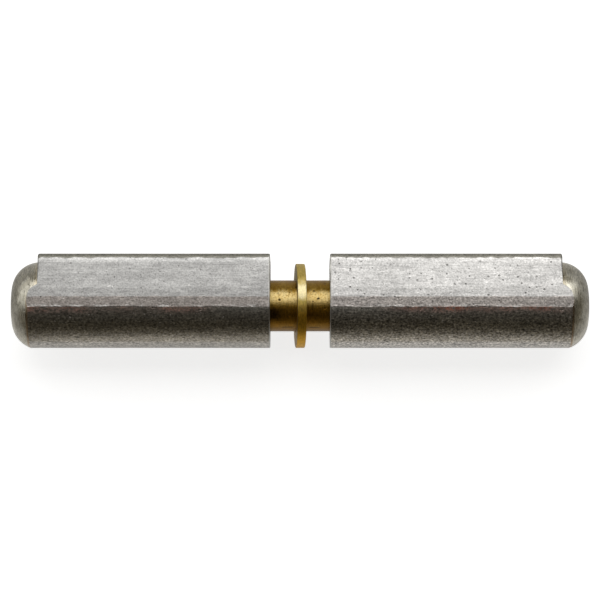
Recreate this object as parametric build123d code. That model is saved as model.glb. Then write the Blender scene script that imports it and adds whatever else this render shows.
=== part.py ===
from build123d import *
import os
from math import asin, cos, radians, sin, tan

# Weld-on barrel hinge, lift-off type, lying on its side and drawn apart as it is unpacked.
# Two equal steel barrels, cut from cold-drawn bar with a blunt weld nose, sit on a loose
# brass pin, and a loose brass washer on the pin keeps their faced ends apart.
# Millimetres. X runs along the hinge axis, +Y towards the weld noses, +Z up. The origin is
# the middle of the footprint of the whole hinge, on the surface that it lies on.

# Drawn bar: a round with a flat flank on each side, converging on a blunt nose
BAR_RADIUS = 8.0  # round part of the section, centred on the hinge axis
FLANK_TAPER = 6.5  # degrees between each flank and the section's centre line
NOSE_LENGTH = 9.25  # hinge axis to the flat of the nose, along the centre line
NOSE_CORNER_RADIUS = 1.2
LAND_WIDTH = 1.9  # narrow flat that the die leaves between each flank and the round

# Each barrel
BARREL_LENGTH = 49.0
FACED_BEVEL = 0.2  # 45 degree edge break round the faced inner end
TURNED_CORNER_RADIUS = 5.3  # form-turned outer end: rounded corner
TURNED_FACE_RADIUS = 3.0  # form-turned outer end: flat left in the middle
SHOULDER_DEPTH = 5.3  # outer end to the shoulder where the form tool leaves the nose
SHOULDER_EDGE_RADIUS = 0.4  # deburred edge of that shoulder

# Pin, and the blind bores that take it
PIN_DIAMETER = 9.7
PIN_LENGTH = 62.0
PIN_CHAMFER = 0.6
BORE_CLEARANCE = 0.08  # radial, pin to barrel
BORE_DEPTH = 30.5  # full-diameter depth, before the drill point
BORE_MOUTH_CHAMFER = 0.4
DRILL_POINT_ANGLE = 118.0  # degrees, included
PIN_SEAT_GAP = 0.3  # pin to the bottom of the left barrel's bore

# Washer
WASHER_DIAMETER = 16.0
WASHER_THICKNESS = 1.7
WASHER_CLEARANCE = 0.15  # radial, pin to washer
WASHER_EDGE_BREAK = 0.15

# As it lies
OPEN_GAP = 11.3  # between the two faced ends
WASHER_LEAN = 3.3  # degrees that the loose washer leans, its top towards the right barrel

# Worked out from the sizes above
TAPER = radians(FLANK_TAPER)
LAND_SPAN = 2 * asin(LAND_WIDTH / (2 * BAR_RADIUS))  # angle that the land takes from the round
BORE_RADIUS = PIN_DIAMETER / 2 + BORE_CLEARANCE
CORNER_ALONG = NOSE_LENGTH - NOSE_CORNER_RADIUS  # nose corner's centre, along the centre line
CORNER_ACROSS = (BAR_RADIUS - NOSE_CORNER_RADIUS - CORNER_ALONG * sin(TAPER)) / cos(TAPER)
NOSE_REACH = CORNER_ALONG * cos(TAPER) + CORNER_ACROSS * sin(TAPER) + NOSE_CORNER_RADIUS
AXIS_Y = (BAR_RADIUS - NOSE_REACH) / 2
AXIS_Z = BAR_RADIUS
FACED_END_X = OPEN_GAP / 2


def on_round(angle, side):
    """Point of the round, at an angle from straight across towards the nose."""
    return (BAR_RADIUS * sin(angle), side * BAR_RADIUS * cos(angle))


def bar_section():
    """Section of the drawn bar: X along its centre line towards the nose, Y across it."""
    nose_half_width = (BAR_RADIUS - NOSE_LENGTH * sin(TAPER)) / cos(TAPER)
    corner = {side: (NOSE_LENGTH, side * nose_half_width) for side in (1, -1)}
    flank_end = {side: on_round(TAPER, side) for side in (1, -1)}
    land_end = {side: on_round(TAPER - LAND_SPAN, side) for side in (1, -1)}
    outline = [Line(corner[-1], corner[1])]
    for side in (1, -1):
        outline += [Line(corner[side], flank_end[side]), Line(flank_end[side], land_end[side])]
    outline.append(ThreePointArc(land_end[1], (-BAR_RADIUS, 0), land_end[-1]))
    sharp = make_face(outline)
    return fillet(sharp.vertices().group_by(Axis.X)[-1], NOSE_CORNER_RADIUS)


def turned_form():
    """Everything that the form tool leaves: a round of the form radius with a rounded outer corner."""
    form = extrude(Plane.YZ * Circle(TURNED_FACE_RADIUS + TURNED_CORNER_RADIUS), BARREL_LENGTH)
    return fillet(form.edges().sort_by(Axis.X)[-1], TURNED_CORNER_RADIUS)


def blind_bore():
    """Drilled and reamed hole from the faced end, with its mouth chamfer and drill point."""
    mouth = BORE_RADIUS + BORE_MOUTH_CHAMFER
    point_depth = BORE_DEPTH + BORE_RADIUS / tan(radians(DRILL_POINT_ANGLE / 2))
    outline = Polyline(
        (0, 0),
        (0, mouth),
        (BORE_MOUTH_CHAMFER, BORE_RADIUS),
        (BORE_DEPTH, BORE_RADIUS),
        (point_depth, 0),
        close=True,
    )
    return revolve(make_face(outline), Axis.X)


def barrel():
    """One barrel on the X axis, its faced end at X = 0, its lower flank level."""
    section = Plane.YZ.offset(FACED_BEVEL) * Rot(0, 0, -FLANK_TAPER) * bar_section()
    bevel = extrude(section, FACED_BEVEL, dir=(-1, 0, 0), taper=45)
    turned = extrude(section, BARREL_LENGTH - FACED_BEVEL) & turned_form()
    nosed = extrude(section, BARREL_LENGTH - FACED_BEVEL - SHOULDER_DEPTH)
    nosed = fillet(nosed.faces().sort_by(Axis.X)[-1].edges(), SHOULDER_EDGE_RADIUS)
    return bevel + turned + nosed - blind_bore()


def hinge_pin():
    """Turned pin on the X axis, chamfered at both ends, its left end at X = 0."""
    outline = Polyline(
        (0, 0),
        (0, PIN_DIAMETER / 2 - PIN_CHAMFER),
        (PIN_CHAMFER, PIN_DIAMETER / 2),
        (PIN_LENGTH - PIN_CHAMFER, PIN_DIAMETER / 2),
        (PIN_LENGTH, PIN_DIAMETER / 2 - PIN_CHAMFER),
        (PIN_LENGTH, 0),
        close=True,
    )
    return revolve(make_face(outline), Axis.X)


def washer():
    """Turned washer, its middle at the origin and its axis on the X axis."""
    inner = PIN_DIAMETER / 2 + WASHER_CLEARANCE
    outer = WASHER_DIAMETER / 2
    half = WASHER_THICKNESS / 2
    outline = Polyline(
        (-half, inner + WASHER_EDGE_BREAK),
        (-half, outer - WASHER_EDGE_BREAK),
        (WASHER_EDGE_BREAK - half, outer),
        (half - WASHER_EDGE_BREAK, outer),
        (half, outer - WASHER_EDGE_BREAK),
        (half, inner + WASHER_EDGE_BREAK),
        (half - WASHER_EDGE_BREAK, inner),
        (WASHER_EDGE_BREAK - half, inner),
        close=True,
    )
    return revolve(make_face(outline), Axis.X)


def leaning_washer():
    """The washer as it lies: it leans on the pin, and reaches as low as it would upright."""
    leaning = Rot(0, WASHER_LEAN, 0) * washer()
    return Pos(0, 0, -WASHER_DIAMETER / 2 - leaning.bounding_box().min.Z) * leaning


def write(node, shape, start_x):
    """Write a piece made on the X axis, moved so that its X = 0 lies at start_x on the hinge axis."""
    export_step(Pos(start_x, AXIS_Y, AXIS_Z) * shape, f"parts/{node}.step")


os.makedirs("parts", exist_ok=True)
right_half = barrel()
left_half = mirror(right_half, about=Plane.YZ)
write("left_barrel", left_half, -FACED_END_X)
write("right_barrel", right_half, FACED_END_X)
write("hinge_pin", hinge_pin(), PIN_SEAT_GAP - FACED_END_X - BORE_DEPTH)
write("washer", leaning_washer(), 0)
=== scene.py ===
"""Looks of the weld-on barrel hinge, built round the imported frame.

The barrels, pin and washer are meshed again with worn edges, a little die waviness and a burr, and
get procedural finishes: cold-drawn, form-turned and faced steel, drawn brass and turned brass.
Lengths are in millimetres until a mesh is written, which is in metres.
"""

import math

import bmesh
import bpy
from mathutils import Matrix, Vector, noise

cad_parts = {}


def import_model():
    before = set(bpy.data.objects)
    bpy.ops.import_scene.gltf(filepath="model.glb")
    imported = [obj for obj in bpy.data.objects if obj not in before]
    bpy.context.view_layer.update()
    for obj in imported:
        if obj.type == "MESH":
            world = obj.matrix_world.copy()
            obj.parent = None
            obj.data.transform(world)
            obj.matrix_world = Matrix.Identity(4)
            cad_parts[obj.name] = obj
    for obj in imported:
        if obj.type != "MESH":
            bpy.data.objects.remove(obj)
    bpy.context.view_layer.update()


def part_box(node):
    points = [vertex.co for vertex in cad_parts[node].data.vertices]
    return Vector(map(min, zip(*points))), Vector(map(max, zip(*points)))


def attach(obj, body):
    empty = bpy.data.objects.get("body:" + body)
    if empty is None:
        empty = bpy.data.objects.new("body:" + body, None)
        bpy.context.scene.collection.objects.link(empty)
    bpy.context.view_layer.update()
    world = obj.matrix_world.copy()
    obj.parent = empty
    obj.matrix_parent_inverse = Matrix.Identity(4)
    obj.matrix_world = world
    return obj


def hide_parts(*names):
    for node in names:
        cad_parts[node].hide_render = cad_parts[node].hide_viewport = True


MM = 0.001

# Places, from the frame
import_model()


def box_mm(node):
    """The two corners of a node's box, in millimetres."""
    low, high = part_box(node)
    return Vector(low) / MM, Vector(high) / MM


PIN_BOX = box_mm("hinge_pin")
WASHER_BOX = box_mm("washer")
BARREL_BOX = {"left": box_mm("left_barrel"), "right": box_mm("right_barrel")}
AXIS_Y = (PIN_BOX[0].y + PIN_BOX[1].y) / 2
AXIS_Z = (PIN_BOX[0].z + PIN_BOX[1].z) / 2

# Drawn section, as the frame has it
BAR_RADIUS = AXIS_Z
FLANK_TAPER = math.radians(6.5)
NOSE_LENGTH = 9.25
NOSE_CORNER_RADIUS = 1.2
LAND_WIDTH = 1.9
FLANK_CROWN_WIDTH = 1.8  # the flank falls away a little over this width before the land
FLANK_CROWN_ANGLE = math.radians(1.9)

# Ends of a barrel
BARREL_LENGTH = BARREL_BOX["right"][1].x - BARREL_BOX["right"][0].x
FACED_BEVEL = 0.2
TURNED_CORNER_RADIUS = 5.3
TURNED_FACE_RADIUS = 3.0
SHOULDER_DEPTH = 5.3
SHOULDER_EDGE_RADIUS = 0.35
SHOULDER_EDGE_RUN = 1.4  # the shoulder's edge rounding grows to full size over this radius
FORM_RADIUS = TURNED_FACE_RADIUS + TURNED_CORNER_RADIUS

# Bores, pin and washer
PIN_RADIUS = (PIN_BOX[1].y - PIN_BOX[0].y) / 2
BORE_RADIUS = PIN_RADIUS + 0.08
BORE_DEPTH = 30.5
BORE_MOUTH_CHAMFER = 0.4
DRILL_POINT_DEPTH = BORE_RADIUS / math.tan(math.radians(59))
PIN_CHAMFER = 0.6
WASHER_RADIUS = (WASHER_BOX[1].y - WASHER_BOX[0].y) / 2
WASHER_MIDDLE = (WASHER_BOX[0] + WASHER_BOX[1]) / 2
WASHER_THICKNESS = 1.7
WASHER_BORE_RADIUS = PIN_RADIUS + 0.15
WASHER_EDGE_BREAK = 0.15
WASHER_LEAN = math.radians(3.3)

# Unevenness of a barrel
LAND_WAVER = ((0.16, 7.0, 5.0), (0.05, 9.0, 1.1))  # amount, place in the noise and length of each wave
DIE_WAVINESS = 0.012
DIE_WAVE_SIZE = 2.0
DIE_WAVE_STRETCH = 0.15  # waves run this much slower along the bar
DIE_WAVE_START = 40  # how quickly the waves grow from either end
BURR_HEIGHT = 0.12
BURR_UNEVENNESS = 0.16
BURR_GRAIN = 0.8
RIGHT_BURR = (5.9, 8.3)  # from and to, across the upper side from the axis towards the nose

# Points round the section, and rings along a barrel
NOSE_STEPS, CORNER_STEPS, FLANK_STEPS, CROWN_STEPS, LAND_STEPS, BACK_STEPS = 14, 8, 18, 5, 5, 40
BORE_STEPS, FACE_STEPS, BEVEL_STEPS, DRAWN_STEPS = 6, 5, 3, 110
EDGE_STEPS, SHOULDER_STEPS, TURNED_STEPS = 4, 3, 22
FLAT_RADII = (2, 1, 0)
BEVEL_LIP = 0.04  # from the bevel to the first ring of the drawn surface

# Points round the pin and the washer, and rings along them
PIN_COLUMNS, PIN_STEPS = 128, 60
WASHER_COLUMNS, WASHER_FACE_STEPS, WASHER_RIM_STEPS = 160, 8, 4

# Any mesh
CRISP_ANGLE = 0.45  # radians between two faces from which their edge is a clean line
SAME_POINT = 0.0005
NO_AREA = 0.0001

# Materials of a barrel, by the order of their slots
DRAWN, TURNED, FACED, BORE = range(4)


# ---------------------------------------------------------------- meshes


def place(x, y, z):
    """A point given along and about the hinge axis in millimetres, in the frame's metres."""
    return Vector((x, y + AXIS_Y, z + AXIS_Z)) * MM


def place_leaning(x, y, z):
    """A point given about the washer's own middle and axis, in the frame's metres."""
    return (WASHER_MIDDLE + Matrix.Rotation(WASHER_LEAN, 3, "Y") @ Vector((x, y, z))) * MM


def wander(x, y, z, size):
    """Smooth noise between about -1 and 1, with features of the given size."""
    return noise.noise(Vector((x, y, z)) / size)


def spread(first, last, count):
    """count + 1 even steps from first to last."""
    return [first + (last - first) * i / count for i in range(count + 1)]


class Lathe:
    """Collects closed rings of points, all of one length, and joins each to the next."""

    def __init__(self, name):
        self.name = name
        self.rings, self.bands, self.sharp_rings = [], [], set()

    def ring(self, points, band=0, sharp=False):
        """Adds a ring. band is the material of the faces from here to the next ring."""
        if sharp:
            self.sharp_rings.add(len(self.rings))
        self.rings.append(points)
        self.bands.append(band)

    def mesh(self, materials, sharp_columns=(), closed=False):
        """Makes the object. sharp_columns: (column, first ring, last ring) of the sharp lines along it."""
        count = len(self.rings[0])
        verts = [p for ring in self.rings for p in ring]
        faces, bands = [], []
        last = len(self.rings) if closed else len(self.rings) - 1
        for i in range(last):
            a, b = i * count, (i + 1) % len(self.rings) * count
            for k in range(count):
                n = (k + 1) % count
                faces.append((a + k, a + n, b + n, b + k))
                bands.append(self.bands[i])
        mesh = bpy.data.meshes.new(self.name)
        mesh.from_pydata(verts, [], faces)
        mesh.polygons.foreach_set("material_index", bands)
        mesh.polygons.foreach_set("use_smooth", [True] * len(faces))
        self.mark_sharp(mesh, count, sharp_columns)
        for material in materials:
            mesh.materials.append(material)
        return self.clean(mesh)

    def mark_sharp(self, mesh, count, sharp_columns):
        """Marks the sharp rings and columns of a mesh whose rings have count points."""
        sharp = set()
        for i in self.sharp_rings:
            sharp |= {(i * count + k, i * count + (k + 1) % count) for k in range(count)}
        for column, first, final in sharp_columns:
            sharp |= {(i * count + column, (i + 1) * count + column) for i in range(first, final)}
        flags = mesh.attributes.new("sharp_edge", "BOOLEAN", "EDGE")
        for edge in mesh.edges:
            a, b = edge.vertices
            flags.data[edge.index].value = (a, b) in sharp or (b, a) in sharp

    def crisp(self, first, second):
        """Whether the edge between two faces is a clean line: where the finish or the slope changes."""
        turn = first.normal.angle(second.normal)
        return first.material_index != second.material_index or turn > CRISP_ANGLE

    def clean(self, mesh):
        """Merges the rings that collapse to a point or lie on each other, and drops what has no area."""
        bm = bmesh.new()
        bm.from_mesh(mesh)
        bmesh.ops.remove_doubles(bm, verts=bm.verts, dist=SAME_POINT * MM)
        bmesh.ops.dissolve_degenerate(bm, edges=bm.edges, dist=NO_AREA * MM)
        bmesh.ops.recalc_face_normals(bm, faces=bm.faces)
        for edge in bm.edges:
            if len(edge.link_faces) == 2 and self.crisp(*edge.link_faces):
                edge.smooth = False
        bm.to_mesh(mesh)
        bm.free()
        made = bpy.data.objects.new(self.name, mesh)
        bpy.context.scene.collection.objects.link(made)
        return made


def half_section(land_width):
    """Upper half of the bar's outline as (u, v, normal angle): u along its centre line towards the nose.

    It starts in the middle of the nose and goes over the flank and the land to the middle of the back.
    """
    along = NOSE_LENGTH - NOSE_CORNER_RADIUS
    across = (BAR_RADIUS - NOSE_CORNER_RADIUS - along * math.sin(FLANK_TAPER)) / math.cos(FLANK_TAPER)
    normal = math.pi / 2 - FLANK_TAPER
    points = [(NOSE_LENGTH, v, 0.0) for v in spread(0, across, NOSE_STEPS)]
    for a in spread(0, normal, CORNER_STEPS)[1:]:
        u, v = along + NOSE_CORNER_RADIUS * math.cos(a), across + NOSE_CORNER_RADIUS * math.sin(a)
        points.append((u, v, a))

    start = Vector(points[-1][:2])
    run = Vector((-math.cos(FLANK_TAPER), math.sin(FLANK_TAPER)))
    tangent = BAR_RADIUS * Vector((math.cos(normal), math.sin(normal)))
    flank = (tangent - start).length
    for s in spread(0, flank - FLANK_CROWN_WIDTH, FLANK_STEPS)[1:]:
        points.append((*(start + run * s), normal))
    for part in spread(0, 1, CROWN_STEPS)[1:]:
        fall = FLANK_CROWN_WIDTH * part * math.sin(FLANK_CROWN_ANGLE)
        spot = start + run * (flank - FLANK_CROWN_WIDTH * (1 - part)) - fall * tangent.normalized()
        points.append((*spot, normal + FLANK_CROWN_ANGLE * min(1, 2 * part)))

    land_start = Vector(points[-1][:2])
    span = 2 * math.asin(land_width / (2 * BAR_RADIUS))
    land_end = BAR_RADIUS * Vector((math.cos(normal + span), math.sin(normal + span)))
    for part in spread(0, 1, LAND_STEPS)[1:]:
        points.append((*land_start.lerp(land_end, part), normal + span / 2))
    for a in spread(normal + span, math.pi, BACK_STEPS)[1:]:
        points.append((BAR_RADIUS * math.cos(a), BAR_RADIUS * math.sin(a), a))
    return points


def section(lands=(LAND_WIDTH, LAND_WIDTH)):
    """Outline of the drawn bar about its axis, as (y, z, normal angle) with the lower flank level.

    It starts in the middle of the nose and goes up, over the upper flank and land, round the back
    and along the lower side. The two widths are those of the upper and the lower land.
    """
    upper, lower = [half_section(width) for width in lands]
    outline = upper + [(u, -v, -a) for u, v, a in reversed(lower[1:-1])]
    cos, sin = math.cos(FLANK_TAPER), math.sin(FLANK_TAPER)
    return [(u * cos + v * sin, v * cos - u * sin, a - FLANK_TAPER) for u, v, a in outline]


# Columns of the section at which the drawn surface has a crisp line
LAND_COLUMN = NOSE_STEPS + CORNER_STEPS + FLANK_STEPS + CROWN_STEPS
UPPER_LINES = (LAND_COLUMN, LAND_COLUMN + LAND_STEPS)
COLUMNS = len(section())
LOWER_LINES = tuple(COLUMNS - k for k in UPPER_LINES)


def form_depth(radius):
    """Depth from the outer end at which the form tool leaves a radius."""
    if radius >= FORM_RADIUS:
        return SHOULDER_DEPTH
    return TURNED_CORNER_RADIUS - math.sqrt(TURNED_CORNER_RADIUS**2 - (radius - TURNED_FACE_RADIUS) ** 2)


def edge_radius(radius):
    """Rounding of the shoulder's outer edge: none where the form tool runs out, full at the nose."""
    grown = (radius - FORM_RADIUS) / SHOULDER_EDGE_RUN
    return SHOULDER_EDGE_RADIUS * max(0.0, min(1.0, grown))


def at_radius(x, y, z, radius):
    """The point (x, y, z) moved straight out or in to a radius about the axis."""
    reach = math.hypot(y, z)
    return (x, y / reach * radius, z / reach * radius)


def round_points(x, radius, outline):
    """A circle about the axis, its points in line with those of the outline."""
    return [at_radius(x, y, z, radius) for y, z, _ in outline]


def inset(x, outline, amount):
    """The outline at x, moved inwards by an amount."""
    return [(x, y - amount * math.cos(a), z - amount * math.sin(a)) for y, z, a in outline]


class Barrel:
    """One barrel, ring by ring from the bottom of its bore out and along to its turned end.

    x is measured from the faced end towards the turned one.
    """

    def __init__(self, side, seed, burr=None):
        self.side, self.seed, self.burr = side, seed, burr
        self.facing = 1 if side == "right" else -1
        self.faced_x = BARREL_BOX["right"][0].x if side == "right" else BARREL_BOX["left"][1].x
        self.lathe = Lathe(side + "_barrel_skin")
        self.outline = section()
        self.rims = [BARREL_LENGTH - form_depth(math.hypot(y, z)) for y, z, _ in self.outline]

    def put(self, points, band, sharp=False):
        """Adds a ring to the barrel's skin."""
        self.lathe.ring([place(self.faced_x + self.facing * x, y, z) for x, y, z in points], band, sharp)

    def bore(self):
        """The drill point and the wall of the bore."""
        self.put(round_points(BORE_DEPTH + DRILL_POINT_DEPTH, 0, self.outline), BORE)
        for x in reversed(spread(BORE_MOUTH_CHAMFER, BORE_DEPTH, BORE_STEPS)):
            ring = round_points(x, BORE_RADIUS, self.outline)
            self.put(ring, BORE, sharp=x in (BORE_MOUTH_CHAMFER, BORE_DEPTH))

    def faced_end(self):
        """The flat face round the bore's mouth, and its rounded outer edge."""
        mouth = round_points(0, BORE_RADIUS + BORE_MOUTH_CHAMFER, self.outline)
        edge = inset(0, self.outline, FACED_BEVEL)
        for part in spread(0, 1, FACE_STEPS):
            ring = [tuple(Vector(a).lerp(Vector(b), part)) for a, b in zip(mouth, edge)]
            self.put(ring, FACED, sharp=part == 0)
        for part in spread(0, 1, BEVEL_STEPS):
            turn = part * math.pi / 2
            x, amount = FACED_BEVEL * (1 - math.cos(turn)), FACED_BEVEL * (1 - math.sin(turn))
            ring = inset(x, self.outline, amount)
            self.put([(x - self.proud(y, z) * (1 - part), y, z) for x, y, z in ring], FACED)

    def proud(self, y, z):
        """How far the sawn upper edge stands out of the faced end as a burr."""
        if not self.burr or z < 0:
            return 0.0
        low, high = self.burr
        inside = (y - low) * (high - y) / ((high - low) / 2) ** 2
        if inside <= 0:
            return 0.0
        return inside**0.5 * (BURR_HEIGHT + BURR_UNEVENNESS * abs(wander(y, z, self.seed, BURR_GRAIN)))

    def drawn_part(self):
        """The drawn surface, slightly wavy, from the bevel to where the form tool starts."""
        start = FACED_BEVEL + BEVEL_LIP
        self.put(inset(start, self.outline, 0), DRAWN)
        for i in range(1, DRAWN_STEPS + 1):
            share = i / DRAWN_STEPS
            self.put(self.drawn_ring(start, share), DRAWN)

    def drawn_ring(self, start, share):
        """The ring that lies a share of the way from start to the rim."""
        x = start + (BARREL_LENGTH - SHOULDER_DEPTH - start) * share
        grown = min(1, share * (1 - share) * DIE_WAVE_START)
        ring = []
        for rim, (y, z, a) in zip(self.rims, section([self.land_width(x, n) for n in (1, 2)])):
            reach = start + (rim - start) * share
            fall = DIE_WAVINESS * wander(reach * DIE_WAVE_STRETCH, y + self.seed, z, DIE_WAVE_SIZE)
            radius = edge_radius(math.hypot(y, z))
            reach = min(reach, rim - radius) if radius else reach
            ring.append((reach, y + fall * math.cos(a) * grown, z + fall * math.sin(a) * grown))
        return ring

    def land_width(self, x, number):
        """Width of the upper land, number 1, or of the lower one, number 2, at x."""
        waves = [amount * wander(x, self.seed, spot * number, size) for amount, spot, size in LAND_WAVER]
        return LAND_WIDTH + waves[0] + waves[1]

    def shoulder_edge(self):
        """The rounded edge between the drawn surface and the shoulder. Gives its last ring."""
        for part in spread(0, 1, EDGE_STEPS)[1:]:
            turn = part * math.pi / 2
            ring = []
            for rim, (y, z, a) in zip(self.rims, self.outline):
                radius = edge_radius(math.hypot(y, z))
                drop = radius * (1 - math.cos(turn))
                x = rim - radius * (1 - math.sin(turn))
                ring.append((x, y - drop * math.cos(a), z - drop * math.sin(a)))
            self.put(ring, DRAWN if part < 1 else TURNED, sharp=part == 1)
        return ring

    def turned_end(self, edge):
        """The shoulder inwards from its edge, then the rounded corner and the flat in the middle."""
        for part in spread(0, 1, SHOULDER_STEPS)[1:]:
            ring = []
            for x, y, z in edge:
                reach = math.hypot(y, z)
                ring.append(at_radius(x, y, z, reach + (min(reach, FORM_RADIUS) - reach) * part))
            self.put(ring, TURNED, sharp=part == 1)
        foot = ring
        for i in range(1, TURNED_STEPS + 1):
            ring = []
            for _, y, z in foot:
                start = math.asin(min(1, (math.hypot(y, z) - TURNED_FACE_RADIUS) / TURNED_CORNER_RADIUS))
                a = start * (1 - i / TURNED_STEPS)
                x = BARREL_LENGTH - TURNED_CORNER_RADIUS * (1 - math.cos(a))
                ring.append(at_radius(x, y, z, TURNED_FACE_RADIUS + TURNED_CORNER_RADIUS * math.sin(a)))
            self.put(ring, TURNED)
        for radius in FLAT_RADII:
            self.put(round_points(BARREL_LENGTH, radius, self.outline), TURNED)

    def make(self, materials):
        """Makes the object, in place of the frame's plain barrel."""
        self.bore()
        self.faced_end()
        first_drawn = len(self.lathe.rings)
        self.drawn_part()
        edge = self.shoulder_edge()
        last_drawn = len(self.lathe.rings) - 1
        self.turned_end(edge)
        lines = [(column, first_drawn, last_drawn) for column in UPPER_LINES + LOWER_LINES]
        made = self.lathe.mesh(materials, lines)
        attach(made, self.side + "_barrel")
        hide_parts(self.side + "_barrel")


def lathed(name, profile, columns, material, closed=False, lay=place):
    """A turned piece from (x, radius, sharp) points, laid in the frame by the lay function."""
    lathe = Lathe(name)
    for x, radius, sharp in profile:
        ring = []
        for k in range(columns):
            a = 2 * math.pi * k / columns
            ring.append(lay(x, radius * math.cos(a), radius * math.sin(a)))
        lathe.ring(ring, 0, sharp)
    return lathe.mesh([material], closed=closed)


def pin(material):
    """The pin, in place of the frame's plain one."""
    low, high = PIN_BOX[0].x, PIN_BOX[1].x
    low_edge, high_edge = low + PIN_CHAMFER, high - PIN_CHAMFER
    end_radius = PIN_RADIUS - PIN_CHAMFER
    profile = [(low, 0, False), (low, end_radius, True), (low_edge, PIN_RADIUS, True)]
    profile += [(x, PIN_RADIUS, False) for x in spread(low_edge, high_edge, PIN_STEPS)[1:-1]]
    profile += [(high_edge, PIN_RADIUS, True), (high, end_radius, True), (high, 0, False)]
    made = lathed("hinge_pin_skin", profile, PIN_COLUMNS, material)
    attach(made, "pin")
    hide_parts("hinge_pin")


def washer(material):
    """The washer with rounded outer edges, in place of the frame's plain one."""
    half, small = WASHER_THICKNESS / 2, WASHER_EDGE_BREAK
    turn = 0.3 * small  # the middle of the rounded edge, from either side of its square corner
    outer, inner = WASHER_RADIUS, WASHER_BORE_RADIUS
    profile = [(-half, r, False) for r in spread(inner + small, outer - small, WASHER_FACE_STEPS)]
    profile += [(turn - half, outer - turn, False)]
    profile += [(x, outer, False) for x in spread(small - half, half - small, WASHER_RIM_STEPS)]
    profile += [(half - turn, outer - turn, False)]
    profile += [(half, r, False) for r in spread(outer - small, inner + small, WASHER_FACE_STEPS)]
    profile += [(half - small, inner, True), (small - half, inner, True)]
    made = lathed("washer_skin", profile, WASHER_COLUMNS, material, closed=True, lay=place_leaning)
    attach(made, "washer")
    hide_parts("washer")


# ---------------------------------------------------------------- node graphs

SEED_STEP = 7.3  # from one noise of a finish to the next


class Graph:
    """Makes and joins the nodes of a tree."""

    def __init__(self, tree):
        self.tree = tree

    def add(self, kind, inputs=None, **settings):
        """A new shader node with its settings and inputs, which are values or other nodes' outputs."""
        node = self.tree.nodes.new("ShaderNode" + kind)
        for key, value in settings.items():
            setattr(node, key, value)
        for key, value in (inputs or {}).items():
            self.put(node.inputs[key], value)
        return node

    def put(self, socket, value):
        """Joins an output to the socket, or sets its value."""
        if isinstance(value, bpy.types.NodeSocket):
            self.tree.links.new(value, socket)
        else:
            socket.default_value = value

    def math(self, operation, *values):
        """A Math node on one to three values."""
        return self.add("Math", dict(enumerate(values)), operation=operation).outputs[0]

    def vector(self, operation, first, second):
        """A Vector Math node on two values, the second of them a number where it scales."""
        node = self.add("VectorMath", {0: first}, operation=operation)
        self.put(node.inputs["Scale" if operation == "SCALE" else 1], second)
        return node.outputs[0]

    def fade(self, value, start, end, low=0.0, high=1.0):
        """A smooth change from low to high as the value goes from start to end."""
        span = {"Value": value, "From Min": start, "From Max": end, "To Min": low, "To Max": high}
        return self.add("MapRange", span, interpolation_type="SMOOTHSTEP").outputs[0]

    def band(self, value, outside, inside, leaving, left):
        """1 while the value lies between inside and leaving, faded to 0 towards outside and left."""
        return self.math("MULTIPLY", self.fade(value, outside, inside), self.fade(value, left, leaving))

    def mix(self, factor, first, second):
        """The first colour where the factor is 0, the second where it is 1."""
        node = self.add("Mix", {0: factor}, data_type="RGBA")
        for socket, value in ((node.inputs[6], first), (node.inputs[7], second)):
            self.put(socket, value if isinstance(value, bpy.types.NodeSocket) else (*value, 1))
        return node.outputs[2]


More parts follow.
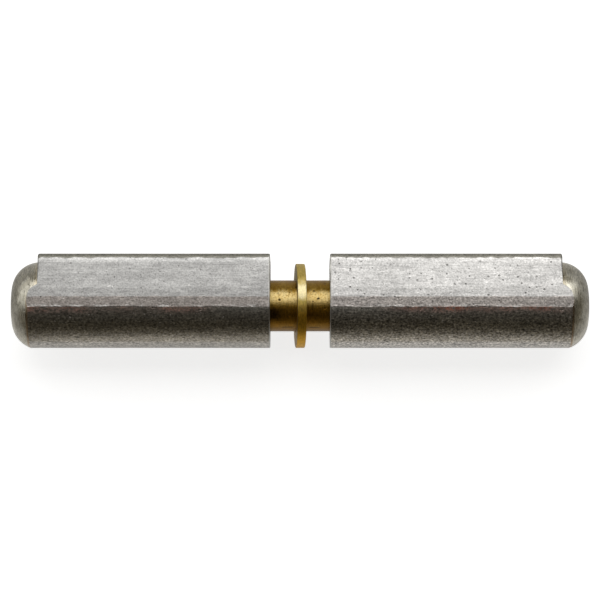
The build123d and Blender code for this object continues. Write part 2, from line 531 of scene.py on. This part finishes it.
class Finish(Graph):
    """The node graph of one metal finish. It measures in millimetres about the hinge axis."""

    def __init__(self, name, seed, lean=0.0):
        self.material = bpy.data.materials.new(name)
        self.material.use_nodes = True
        super().__init__(self.material.node_tree)
        self.surface = self.tree.nodes["Principled BSDF"]
        self.surface.inputs["Metallic"].default_value = 1
        here = self.add("TexCoord").outputs["Object"]
        from_axis = self.vector("SUBTRACT", here, (0, AXIS_Y * MM, AXIS_Z * MM))
        upright = {"Vector": self.vector("SCALE", from_axis, 1 / MM), "Angle": -lean}
        self.place = self.add("VectorRotate", upright, rotation_type="Y_AXIS").outputs[0]
        self.seed = seed
        split = self.add("SeparateXYZ", {"Vector": self.place})
        self.x, self.y, self.z = split.outputs
        self.angle = self.math("MULTIPLY", self.math("ARCTAN2", self.z, self.y), 180 / math.pi)
        across = self.math("MULTIPLY", self.y, self.y)
        self.radius = self.math("SQRT", self.math("MULTIPLY_ADD", self.z, self.z, across))

    def spot(self, place, scale):
        """Where a new noise is read: scaled along each axis, and moved to differ from the others."""
        self.seed += SEED_STEP
        scaled = self.vector("MULTIPLY", place, scale)
        return self.vector("ADD", scaled, (self.seed, self.seed / 2, self.seed / 3))

    def noise(self, size, stretch=(1, 1, 1), detail=2.0, place=None):
        """Noise between 0 and 1 with features of the given size, stretched along each axis."""
        moved = self.spot(place or self.place, [1 / (size * s) for s in stretch])
        return self.add("TexNoise", {"Vector": moved, "Scale": 1.0, "Detail": detail}).outputs[0]

    def rings(self, size, wobble=0.02):
        """Noise that runs in rings round the hinge axis, as a lathe tool leaves it."""
        turn = self.math("MULTIPLY", self.angle, wobble)
        place = self.add("CombineXYZ", {"X": self.x, "Y": self.radius, "Z": turn}).outputs[0]
        return self.noise(size, detail=3.0, place=place)

    def pits(self, spacing, radius):
        """1 in small scattered pits of uneven size, 0 elsewhere."""
        moved = self.spot(self.place, [1 / spacing] * 3)
        cells = self.add("TexVoronoi", {"Vector": moved, "Scale": 1.0})
        size = self.add("SeparateColor", {"Color": cells.outputs["Color"]}).outputs[0]
        reach = self.math("MULTIPLY", self.math("POWER", size, 3.0), radius / spacing)
        inner = self.math("MULTIPLY", reach, 0.5)
        return self.fade(cells.outputs["Distance"], reach, inner)

    def stroke(self, x, y, turn, length, width=0.14):
        """1 on one short mark on top: its middle as seen from above, its turn from X in degrees."""
        cos, sin = math.cos(math.radians(turn)), math.sin(math.radians(turn))
        along = self.math("MULTIPLY_ADD", self.x, cos, -x * cos - y * sin)
        along = self.math("ABSOLUTE", self.math("MULTIPLY_ADD", self.y, sin, along))
        across = self.math("MULTIPLY_ADD", self.y, cos, x * sin - y * cos)
        across = self.math("ABSOLUTE", self.math("MULTIPLY_ADD", self.x, -sin, across))
        ends = self.fade(along, length / 2, length / 4)
        mark = self.math("MULTIPLY", ends, self.fade(across, width / 2, width / 5))
        return self.math("MULTIPLY", mark, self.fade(self.z, 0.0, 1.0))

    def vary(self, pattern, low, high):
        """A change from low to high over the usual range of a noise."""
        return self.fade(pattern, 0.3, 0.7, low, high)

    def waver(self, value, pattern, reach):
        """The value moved to and fro by a noise, by half of reach at most."""
        return self.math("MULTIPLY_ADD", pattern, reach, self.math("ADD", value, -reach / 2))

    def total(self, *terms):
        """The sum of (pattern, weight) terms."""
        height = self.math("MULTIPLY", *terms[0])
        for pattern, weight in terms[1:]:
            height = self.math("MULTIPLY_ADD", pattern, weight, height)
        return height

    def shade(self, colour, *amounts):
        """The colour made lighter or darker by each amount in turn."""
        for amount in amounts:
            colour = self.vector("SCALE", colour, amount)
        return colour

    def finish(self, colour, roughness, height):
        """Sets the surface. height is in millimetres."""
        self.put(self.surface.inputs["Base Color"], colour)
        self.put(self.surface.inputs["Roughness"], roughness)
        bump = self.add("Bump", {"Height": height, "Distance": MM, "Strength": 1.0})
        self.put(self.surface.inputs["Normal"], bump.outputs[0])
        return self.material


# ---------------------------------------------------------------- steel

# Degrees round the drawn section, from the middle of the nose. A band is given by where it
# starts, is full, is no longer full and ends, as f.band takes it.
NOSE_END = 40.3
LAND_FROM = 83.3
LAND_TO = 97.2
# Painted highlight: a lighter line along the nose's edge, just past the olive nose
NOSE_HIGHLIGHT_BAND = (NOSE_END + 0.2, NOSE_END + 0.8, NOSE_END + 2.3, NOSE_END + 4.3)
LAND_BAND = (LAND_FROM - 0.5, LAND_FROM + 0.5, LAND_TO - 0.6, LAND_TO + 0.6)
RUBBED_BAND = (93.0, 96.0, 97.3, 98.5)
SCALE_BAND = (112, 124, 151, 158)
RUST_FADE = (110, 99)  # none from the first on, full up to the second
RUST_ALONG = (12, 24)  # millimetres from the hinge's middle: none before, full past the second

# Colours of steel
ROUND_TONE = (0.41, 0.375, 0.325)
SCALE_OLIVE = (0.28, 0.245, 0.18)
RUST = (0.26, 0.08, 0.042)
NOSE_OLIVE = (0.25, 0.24, 0.2)
BARE_SCRATCH = (0.85, 0.83, 0.8)
TURNED_GROUNDS = (0.46, 0.43, 0.35), (0.6, 0.57, 0.485)
TURNED_EDGE = (0.42, 0.35, 0.22)
TURNED_RIM = (0.27, 0.15, 0.06)
FACED_GROUNDS = (0.4, 0.39, 0.36), (0.5, 0.49, 0.46)
BORE_GROUNDS = (0.16, 0.14, 0.11), (0.24, 0.22, 0.18)

# Each barrel's own look: colours of flank and land, size of its pits, strength of its grain and of
# the painted highlight along the nose, and its scratches as f.stroke takes them.
LEFT_BAR = {
    "tone": (0.35, 0.345, 0.335),
    "land_tone": (0.37, 0.335, 0.31),
    "pit": 0.2,
    "contrast": 1.2,
    "highlight_gain": 1.36,
    "scratches": (
        (-35.8, 3.75, 10, 0.9),
        (-35.1, 3.55, -55, 0.9),
        (-20.8, 4.0, 70, 0.5),
        (-44.5, 1.4, 15, 0.8),
    ),
    "seed": 2.0,
}
RIGHT_BAR = {
    "tone": (0.5, 0.49, 0.475),
    "land_tone": (0.42, 0.385, 0.36),
    "pit": 0.3,
    "contrast": 1.6,
    "highlight_gain": 1.12,
    "scratches": (),
    "seed": 40.0,
}


def section_angle(f):
    """Degrees from the middle of the nose, round either side of the drawn section."""
    return f.math("ABSOLUTE", f.math("ADD", f.angle, math.degrees(FLANK_TAPER)))


class DrawnSteel(Finish):
    """Cold-drawn bar: granular, streaked along X, pitted and stained, with olive scale on the nose."""

    def __init__(self, name, seed, pit):
        super().__init__(name, seed)
        self.turn = section_angle(self)
        self.grain = self.noise(0.26, (1.3, 1, 1), detail=4.0)
        self.coarse = self.noise(0.8, (2.2, 1, 1), detail=3.0)
        self.streak = self.noise(0.22, (30, 1, 1), detail=3.0)
        self.cloud = self.noise(3.0, (2.5, 1, 1), detail=3.0)
        self.holes = self.pits(0.7, pit)
        self.specks = self.pits(0.36, 0.15)
        self.uneven_turn = self.waver(self.turn, self.coarse, 3.0)
        self.on_round = self.fade(self.uneven_turn, LAND_TO - 0.6, LAND_TO + 0.6)
        self.on_nose = self.fade(self.uneven_turn, NOSE_END + 0.4, NOSE_END - 0.4)

    def scuffs(self, scratches):
        """1 on the rubbed places of the land's edge and on the scratches."""
        patches = self.fade(self.noise(0.5, (3, 1, 1), detail=3.0), 0.52, 0.62)
        marks = self.math("MULTIPLY", self.band(self.turn, *RUBBED_BAND), patches)
        for scratch in scratches:
            marks = self.math("MAXIMUM", marks, self.stroke(*scratch))
        return marks

    def rust(self):
        """1 in the rusty patches just past the land, towards the outer end of the bar."""
        patches = self.math("MULTIPLY", self.on_round, self.fade(self.uneven_turn, *RUST_FADE))
        patches = self.math("MULTIPLY", patches, self.fade(self.math("ABSOLUTE", self.x), *RUST_ALONG))
        patches = self.math("MULTIPLY", patches, self.fade(self.cloud, 0.32, 0.58, 0.25, 1.0))
        return self.math("MULTIPLY", patches, self.fade(self.grain, 0.38, 0.55, 0.35, 1.0))

    def zones(self, tone, land_tone, rust, scuffs):
        """The colour of each part of the section, with its scale, rust and scuffs."""
        colour = self.mix(self.band(self.uneven_turn, *LAND_BAND), tone, land_tone)
        colour = self.mix(self.math("MULTIPLY", self.on_round, 0.6), colour, ROUND_TONE)
        broken = self.fade(self.grain, 0.35, 0.65, 0.8, 0.3)
        scale = self.math("MULTIPLY", self.band(self.uneven_turn, *SCALE_BAND), broken)
        colour = self.mix(scale, colour, SCALE_OLIVE)
        colour = self.mix(self.math("MULTIPLY", rust, 0.9), colour, RUST)
        colour = self.mix(self.math("MULTIPLY", self.on_nose, 0.85), colour, NOSE_OLIVE)
        return self.mix(self.math("MULTIPLY", scuffs, 0.6), colour, BARE_SCRATCH)

    def shades(self, contrast, highlight_gain):
        """Amounts by which the grain, specks, pits and the painted highlight on the nose shade the colour.
        """
        speck = self.math("SUBTRACT", self.noise(0.35, (1.3, 1, 1), detail=4.0), 0.5)
        on_land = self.fade(self.turn, 82, 84, 0.6, 1.4)
        strength = self.math("ADD", on_land, self.fade(self.turn, 97, 115, 0.0, 0.9))
        # painted highlight along the nose's edge
        nose_highlight = self.band(self.uneven_turn, *NOSE_HIGHLIGHT_BAND)
        return (
            self.vary(self.grain, 0.76, 1.2),
            self.vary(self.streak, 0.88, 1.1),
            self.vary(self.coarse, 0.9, 1.1),
            self.vary(self.cloud, 0.92, 1.08),
            self.math("MULTIPLY_ADD", speck, self.math("MULTIPLY", strength, contrast), 1.0),
            self.fade(self.specks, 0, 1, 1, 1 - 0.3 * contrast),
            self.fade(self.holes, 0, 1, 1, 0.6),
            self.fade(nose_highlight, 0, 1, 1, highlight_gain),
        )


def drawn_steel(name, tone, land_tone, pit, contrast, highlight_gain, scratches, seed):
    """The finish of one barrel's drawn surface, from its values in LEFT_BAR or RIGHT_BAR."""
    f = DrawnSteel(name, seed, pit)
    scuffs, rust = f.scuffs(scratches), f.rust()
    colour = f.shade(f.zones(tone, land_tone, rust, scuffs), *f.shades(contrast, highlight_gain))
    rough = f.math("ADD", f.vary(f.grain, 0.3, 0.4), f.math("MULTIPLY", f.on_round, 0.04))
    rough = f.math("MULTIPLY_ADD", f.on_nose, 0.2, rough)
    fine = ((f.grain, 0.011), (f.streak, 0.004), (f.coarse, 0.009))
    height = f.total(*fine, (f.cloud, 0.012), (f.holes, -0.03))
    f.put(f.surface.inputs["Metallic"], f.fade(rust, 0.0, 1.0, 1.0, 0.5))
    return f.finish(colour, rough, height)


def turned_steel(name, seed):
    """Form-turned end: fine rings, smoother than the drawn surface, with a brownish outer edge."""
    f = Finish(name, seed)
    rings = f.rings(0.16)
    bands = f.rings(0.7)
    grain = f.noise(0.25, detail=3.0)
    cloud = f.noise(1.6, detail=3.0)
    pits = f.pits(0.8, 0.25)
    colour = f.mix(f.fade(cloud, 0.35, 0.65), *TURNED_GROUNDS)
    depth = f.math("SUBTRACT", BARREL_BOX["right"][1].x, f.math("ABSOLUTE", f.x))
    edge = f.math("MULTIPLY", f.fade(depth, 4.2, 5.4), f.vary(cloud, 0.3, 0.9))
    colour = f.mix(edge, colour, TURNED_EDGE)
    rim = f.math("MULTIPLY", f.fade(depth, 3.0, 3.4), f.fade(section_angle(f), 82, 92, 0.0, 0.7))
    colour = f.mix(rim, colour, TURNED_RIM)
    colour = f.shade(colour, f.vary(rings, 0.72, 1.2), f.vary(bands, 0.88, 1.1), f.vary(grain, 0.88, 1.1))
    colour = f.shade(colour, f.fade(pits, 0, 1, 1, 0.5))
    height = f.total((rings, 0.009), (grain, 0.004), (cloud, 0.02), (pits, -0.02))
    return f.finish(colour, f.vary(rings, 0.24, 0.36), height)


def faced_steel(name, seed):
    """Faced end: coarser rings on a dull ground."""
    f = Finish(name, seed)
    rings = f.rings(0.22)
    bands = f.rings(0.9)
    grain = f.noise(0.25, detail=3.0)
    colour = f.mix(grain, *FACED_GROUNDS)
    colour = f.shade(colour, f.vary(rings, 0.78, 1.12), f.vary(bands, 0.8, 1.12))
    return f.finish(colour, f.vary(rings, 0.3, 0.42), f.total((grain, 0.002), (rings, 0.01)))


def bore_steel(name, seed):
    """Inside of the bore: oily and dark, with the reamer's rings."""
    f = Finish(name, seed)
    rings = f.rings(0.3)
    colour = f.mix(rings, *BORE_GROUNDS)
    return f.finish(colour, f.vary(rings, 0.35, 0.5), f.total((rings, 0.01)))


# ---------------------------------------------------------------- brass

# Dark marks on top of the pin, as f.stroke takes them
PIN_MARKS = (
    (3.45, 1.4, 25, 0.65, 0.5),
    (2.45, 0.85, 90, 0.4, 0.35),
    (2.4, -0.2, 90, 1.9, 0.1),
    (-2.3, -4.0, 0, 2.8, 0.17),
    (2.7, -4.05, 0, 2.6, 0.15),
)

# Degrees round the pin and the washer, from the noses' side over the top, as f.band takes them
# painted highlight on top of the pin
PIN_HIGHLIGHT_BAND = (48, 60, 76, 94)
# painted shade on the pin's lower side
PIN_LOWER_SHADE_BAND = (84, 98, 124, 146)
# painted highlight on top of the washer
WASHER_HIGHLIGHT_BAND = (52, 62, 72, 84)

# Colours of brass
PIN_GROUNDS = (0.4, 0.23, 0.025), (0.5, 0.32, 0.06)
# paler brass as a painted highlight on top of the pin
PIN_HIGHLIGHT = (0.54, 0.42, 0.19)
PIN_GRAIN = (0.2, 0.11, 0.02)
# painted shade towards the pin's edges
PIN_EDGE_SHADE = (0.17, 0.085, 0.012)
# painted shade on the pin's lower side
PIN_LOWER_SHADE = (0.36, 0.17, 0.015)
# dark of the marks on the pin, and of the painted shade next to the left barrel
MARK_AND_SHADE_DARK = (0.035, 0.022, 0.008)
WASHER_GROUNDS = (0.5, 0.37, 0.09), (0.6, 0.45, 0.13)
# painted shade on the washer's lower side
WASHER_LOWER_SHADE = (0.56, 0.31, 0.03)
# paler brass as a painted highlight on top of the washer
WASHER_HIGHLIGHT = (0.76, 0.67, 0.42)
# painted shade on the washer's faces
WASHER_FACE_SHADE = (0.24, 0.17, 0.06)


def pin_brass(name, seed):
    """Drawn brass, brown in a grain, with rings, lengthwise scratches, pits and dark marks, a painted
    highlight on top and painted shade towards its edges, along its lower side and next to the left barrel.
    """
    f = Finish(name, seed)
    rings = f.rings(0.2)
    grain = f.noise(0.3, detail=4.0)
    cloud = f.noise(1.5, (0.6, 1, 1), detail=3.0)
    scratch = f.noise(0.15, (20, 1, 1))
    pits = f.pits(1.1, 0.42)
    waver = f.waver(f.math("ABSOLUTE", f.angle), cloud, 20.0)
    # clean: painted highlight, paler brass where the lamp's reflection lies on top of the pin
    clean = f.band(waver, *PIN_HIGHLIGHT_BAND)
    # edges: painted shade, browner towards both edges of the pin
    edges = f.math("ADD", f.fade(waver, 60, 46, 0.0, 0.5), f.fade(waver, 100, 128, 0.0, 0.9))
    # painted shade along the pin's lower side
    lower_shade = f.band(waver, *PIN_LOWER_SHADE_BAND)
    # painted shade on the pin's lower side next to the left barrel, then the real dark marks
    marks_and_shade = f.math("MULTIPLY", f.fade(f.x, -2.6, -5.0), f.fade(waver, 92, 100))
    marks_and_shade = f.math("MULTIPLY", marks_and_shade, f.fade(waver, 128, 116, 0.0, 0.8))
    for mark in PIN_MARKS:
        marks_and_shade = f.math("MAXIMUM", marks_and_shade, f.stroke(*mark))
    colour = f.mix(f.fade(cloud, 0.35, 0.65), *PIN_GROUNDS)
    colour = f.mix(f.math("MULTIPLY", clean, f.vary(cloud, 0.6, 1.0)), colour, PIN_HIGHLIGHT)
    colour = f.mix(f.fade(grain, 0.48, 0.68, 0, 0.65), colour, PIN_GRAIN)
    colour = f.mix(edges, colour, PIN_EDGE_SHADE)
    colour = f.mix(f.math("MULTIPLY", lower_shade, 0.7), colour, PIN_LOWER_SHADE)
    colour = f.mix(marks_and_shade, colour, MARK_AND_SHADE_DARK)
    colour = f.shade(colour, f.vary(rings, 0.75, 1.12), f.vary(scratch, 0.9, 1.08))
    colour = f.shade(colour, f.fade(pits, 0, 1, 1, 0.2))
    height = f.total((rings, 0.008), (grain, 0.012), (cloud, 0.03), (pits, -0.05))
    return f.finish(colour, f.vary(rings, 0.32, 0.44), height)


def washer_brass(name, seed):
    """Turned brass with rings on its faces and rim, a painted highlight on top, and painted shade below
    and on its faces.
    """
    f = Finish(name, seed, WASHER_LEAN)
    rings = f.rings(0.14)
    cloud = f.noise(1.2, detail=3.0)
    grain = f.noise(0.3, detail=3.0)
    waver = f.waver(f.math("ABSOLUTE", f.angle), cloud, 20.0)
    # painted highlight on top of the washer's rim
    washer_highlight = f.band(waver, *WASHER_HIGHLIGHT_BAND)
    half = WASHER_THICKNESS / 2
    # painted shade: the washer's faces darker than its rim
    face_shade = f.fade(f.math("ABSOLUTE", f.x), half - 0.05, half - 0.005, 0.0, 0.7)
    colour = f.mix(f.fade(cloud, 0.35, 0.65), *WASHER_GROUNDS)
    # painted shade: browner on the washer's lower side
    colour = f.mix(f.fade(waver, 82, 105), colour, WASHER_LOWER_SHADE)
    colour = f.mix(f.math("MULTIPLY", washer_highlight, 0.85), colour, WASHER_HIGHLIGHT)
    colour = f.mix(face_shade, colour, WASHER_FACE_SHADE)
    colour = f.shade(colour, f.vary(rings, 0.82, 1.1), f.vary(grain, 0.9, 1.08))
    return f.finish(colour, f.vary(rings, 0.42, 0.52), f.total((cloud, 0.02), (rings, 0.005)))


# ---------------------------------------------------------------- light, floor and camera

CAMERA_LENS = 180
CAMERA_HEIGHT = 570  # over the hinge axis
CAMERA_ASIDE = 1.12  # from the hinge axis towards the noses
WORLD_DARK = (0.032, 0.027, 0.016)
WORLD_LOW = (0.2, 0.186, 0.152)
WORLD_LEFT = (1.25, 1.26, 1.24)
WORLD_RIGHT = (1.18, 1.19, 1.18)
WHITE = (1, 1, 1)
FLOOR_REACH = 6.0  # metres
PAPER_TONE = 0.6
WHITE_NEAR, WHITE_GAIN = 0.8, 0.22  # the paper to the camera: under the hinge, and more far from it
GLOW_ALL_ROUND, GLOW_IN_FRONT = 0.24, 0.33  # the paper in mirror rays: near the hinge, and more before it


def camera():
    """Looks straight down on the hinge, the weld noses towards the top of the picture."""
    data = bpy.data.cameras.new("camera")
    data.sensor_width = 36
    data.lens = CAMERA_LENS
    data.clip_start, data.clip_end = 0.01, 10
    cam = bpy.data.objects.new("camera", data)
    bpy.context.scene.collection.objects.link(cam)
    cam.location = Vector((0, AXIS_Y + CAMERA_ASIDE, AXIS_Z + CAMERA_HEIGHT)) * MM
    bpy.context.scene.camera = cam


def softbox(name, tilt, turn, reach, size, power):
    """A lamp aimed at the hinge, tilted from straight above towards +Y, then turned towards +X.

    reach and size are in metres, power in watts.
    """
    data = bpy.data.lights.new(name, "AREA")
    data.shape = "RECTANGLE"
    data.size, data.size_y = size
    data.energy = power
    lamp = bpy.data.objects.new(name, data)
    bpy.context.scene.collection.objects.link(lamp)
    tilt, turn = math.radians(tilt), math.radians(turn)
    away = Vector((math.sin(turn) * math.sin(tilt), math.cos(turn) * math.sin(tilt), math.cos(tilt)))
    lamp.location = away * reach
    lamp.rotation_euler = away.to_track_quat("Z", "Y").to_euler()


def world():
    """A dark room, paler low down, with a soft glow past each end of the hinge, white to the camera."""
    made = bpy.data.worlds.new("studio")
    bpy.context.scene.world = made
    made.use_nodes = True
    made.node_tree.nodes.clear()
    g = Graph(made.node_tree)
    split = g.add("SeparateXYZ", {0: g.add("TexCoord").outputs["Generated"]}).outputs
    room = g.mix(g.fade(split["Z"], 0.65, 0.0), WORLD_DARK, WORLD_LOW)
    left = g.math("MULTIPLY", g.fade(split["X"], -0.4, -0.75), g.fade(split["Y"], -0.3, 0.45))
    room = g.mix(left, room, WORLD_LEFT)
    right = g.math("MULTIPLY", g.band(split["X"], 0.5, 0.68, 0.72, 0.97), g.fade(split["Y"], 0.2, 0.5))
    room = g.mix(right, room, WORLD_RIGHT)
    path = g.add("LightPath").outputs
    seen = g.math("ADD", path["Is Camera Ray"], path["Is Transmission Ray"])
    surface = g.add("Background", {"Color": g.mix(seen, room, WHITE)})
    g.add("OutputWorld", {"Surface": surface.outputs[0]})


def paper():
    """White to the camera, with its own glow near the hinge in mirror rays. It measures in metres."""
    material = bpy.data.materials.new("paper")
    material.use_nodes = True
    material.node_tree.nodes.clear()
    g = Graph(material.node_tree)
    path = g.add("LightPath").outputs
    here = g.add("TexCoord").outputs["Object"]
    split = g.add("SeparateXYZ", {0: here}).outputs
    aside = g.math("ABSOLUTE", split["X"])
    near = g.math("MULTIPLY", g.fade(aside, 0.064, 0.05), GLOW_ALL_ROUND)
    front = g.math("MULTIPLY", g.fade(split["Y"], 0.0, -0.006), g.fade(aside, 0.08, 0.06))
    near = g.math("MULTIPLY_ADD", front, GLOW_IN_FRONT, near)
    far = g.fade(g.add("VectorMath", {0: here}, operation="LENGTH").outputs["Value"], 0.08, 0.4)
    white = g.math("MULTIPLY_ADD", far, WHITE_GAIN, WHITE_NEAR)
    mirrored = g.math("ADD", path["Is Glossy Ray"], path["Is Transmission Ray"])
    shown = g.math("MULTIPLY_ADD", path["Is Camera Ray"], white, g.math("MULTIPLY", mirrored, near))
    lit = g.add("BsdfDiffuse", {"Color": (PAPER_TONE, PAPER_TONE, PAPER_TONE, 1)})
    glow = g.add("Emission", {"Strength": shown})
    both = g.add("AddShader", {0: lit.outputs[0], 1: glow.outputs[0]})
    g.add("OutputMaterial", {"Surface": both.outputs[0]})
    return material


def floor():
    """White paper that keeps the hinge's soft shadow."""
    mesh = bpy.data.meshes.new("floor")
    corners = [(x * FLOOR_REACH, y * FLOOR_REACH, 0) for x, y in ((-1, -1), (1, -1), (1, 1), (-1, 1))]
    mesh.from_pydata(corners, [], [(0, 1, 2, 3)])
    made = bpy.data.objects.new("floor", mesh)
    bpy.context.scene.collection.objects.link(made)
    mesh.materials.append(paper())


# ---------------------------------------------------------------- the scene

turned = turned_steel("turned_steel", 3.0)
faced = faced_steel("faced_steel", 5.0)
bore = bore_steel("bore_steel", 9.0)
left_bar = drawn_steel("drawn_steel_left", **LEFT_BAR)
Barrel("left", 11.0).make([left_bar, turned, faced, bore])
right_bar = drawn_steel("drawn_steel_right", **RIGHT_BAR)
Barrel("right", 23.0, RIGHT_BURR).make([right_bar, turned, faced, bore])
pin(pin_brass("pin_brass", 60.0))
washer(washer_brass("washer_brass", 80.0))
camera()
softbox("softbox", tilt=44, turn=4, reach=0.7, size=(1.0, 0.62), power=4.0)
world()
floor()
bpy.context.scene.view_settings.view_transform = "Standard"
